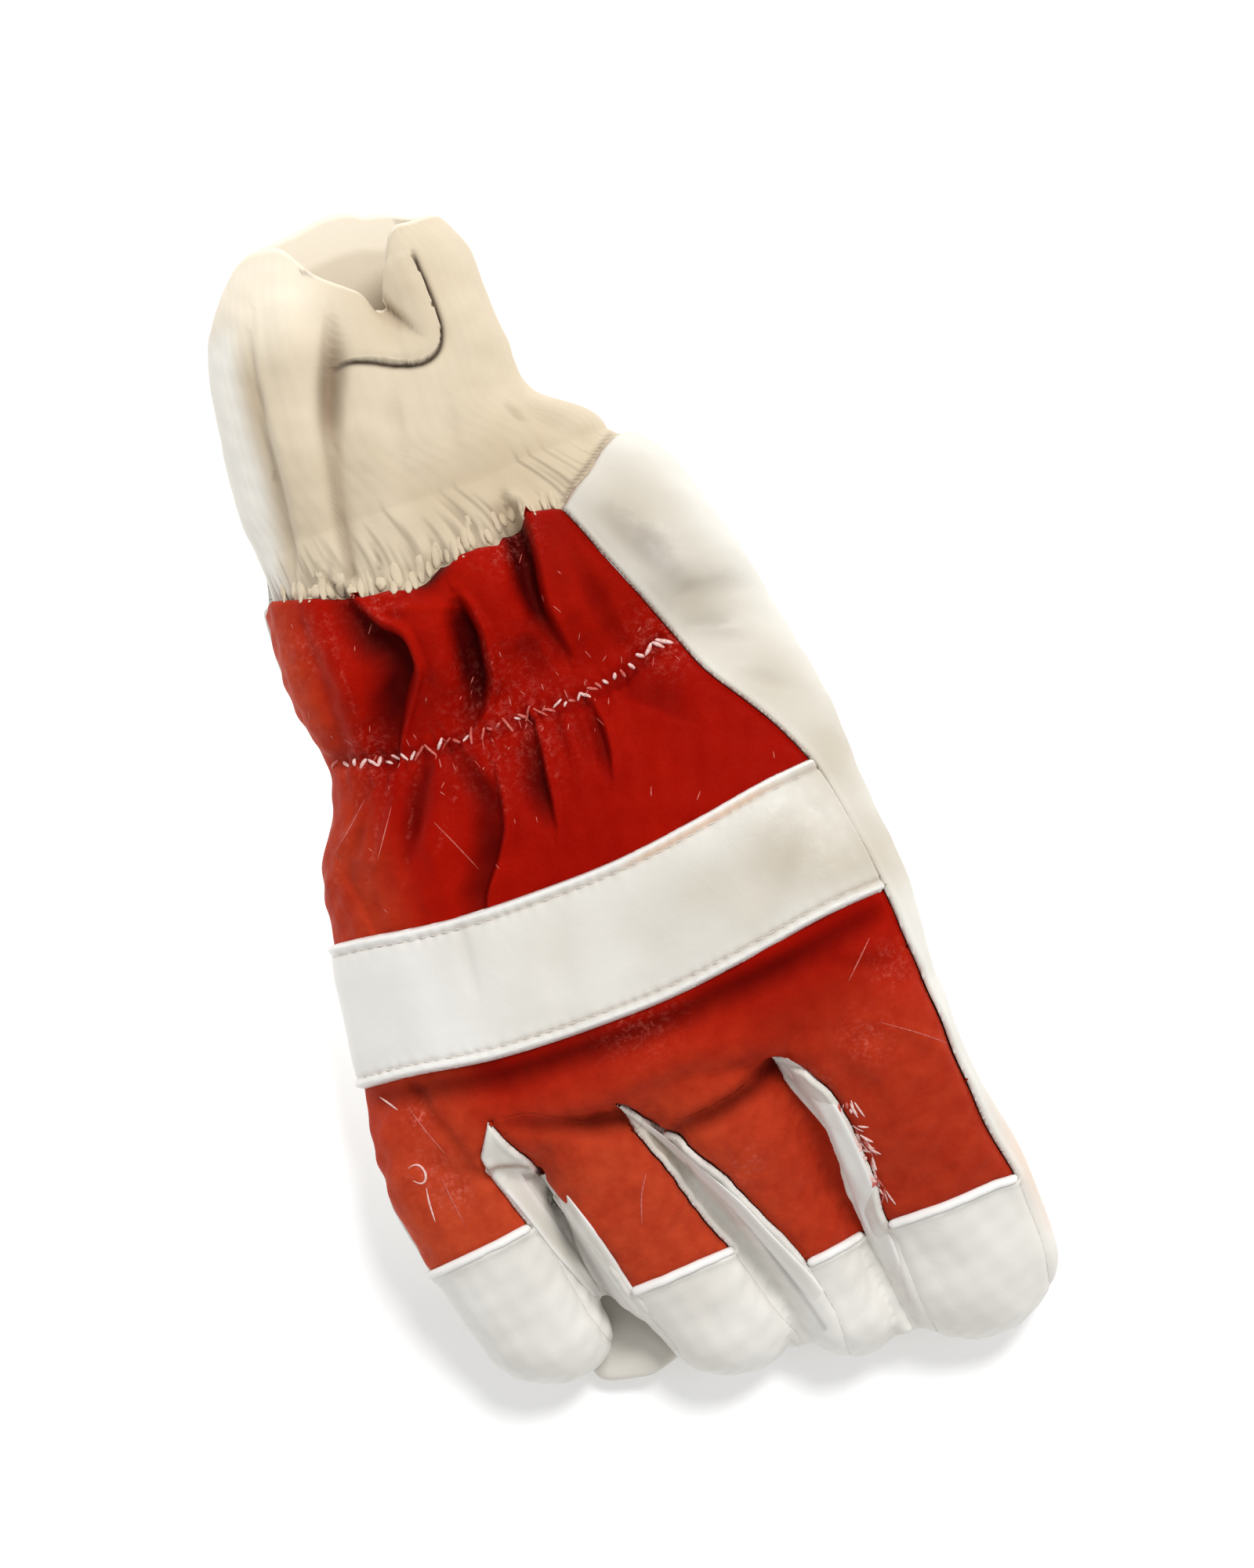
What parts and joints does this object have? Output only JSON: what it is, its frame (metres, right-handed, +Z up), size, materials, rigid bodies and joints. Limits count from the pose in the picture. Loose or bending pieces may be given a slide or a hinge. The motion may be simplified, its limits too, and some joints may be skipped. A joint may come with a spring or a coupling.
{
  "type": "leather and canvas work glove",
  "caption": "Right-hand work glove lying palm down: canvas back, leather palm, thumb, knuckle strap and fingertip caps, knitted cuff with a folded open mouth.",
  "frame": {"origin": "middle of the glove's footprint, on the surface that it lies on", "axes": "+Z up from the surface, +Y towards the mouth of the cuff, -Y towards the fingertips, +X towards the thumb side"},
  "size_m": [0.1242, 0.2625, 0.0587],
  "materials": {
    "red_canvas": "twill canvas, slightly sheened and worn",
    "white_leather": "smooth grain leather",
    "cream_knit": "rib knit"
  },
  "bodies": {
    "root": {"back_hand": "red_canvas", "back_ring": "red_canvas", "back_middle": "red_canvas", "knuckle_strap": "white_leather", "cap_little": "white_leather", "cap_ring": "white_leather", "cap_middle": "white_leather", "cap_index": "white_leather", "welt_little": "white_leather", "welt_ring": "white_leather", "welt_middle": "white_leather", "welt_index": "white_leather", "fourchette_little_ring": "white_leather", "fourchette_ring_middle": "white_leather", "fourchette_middle_index": "white_leather", "palm": "white_leather", "thumb": "white_leather", "knit_cuff": "cream_knit"}
  },
  "joints": []
}
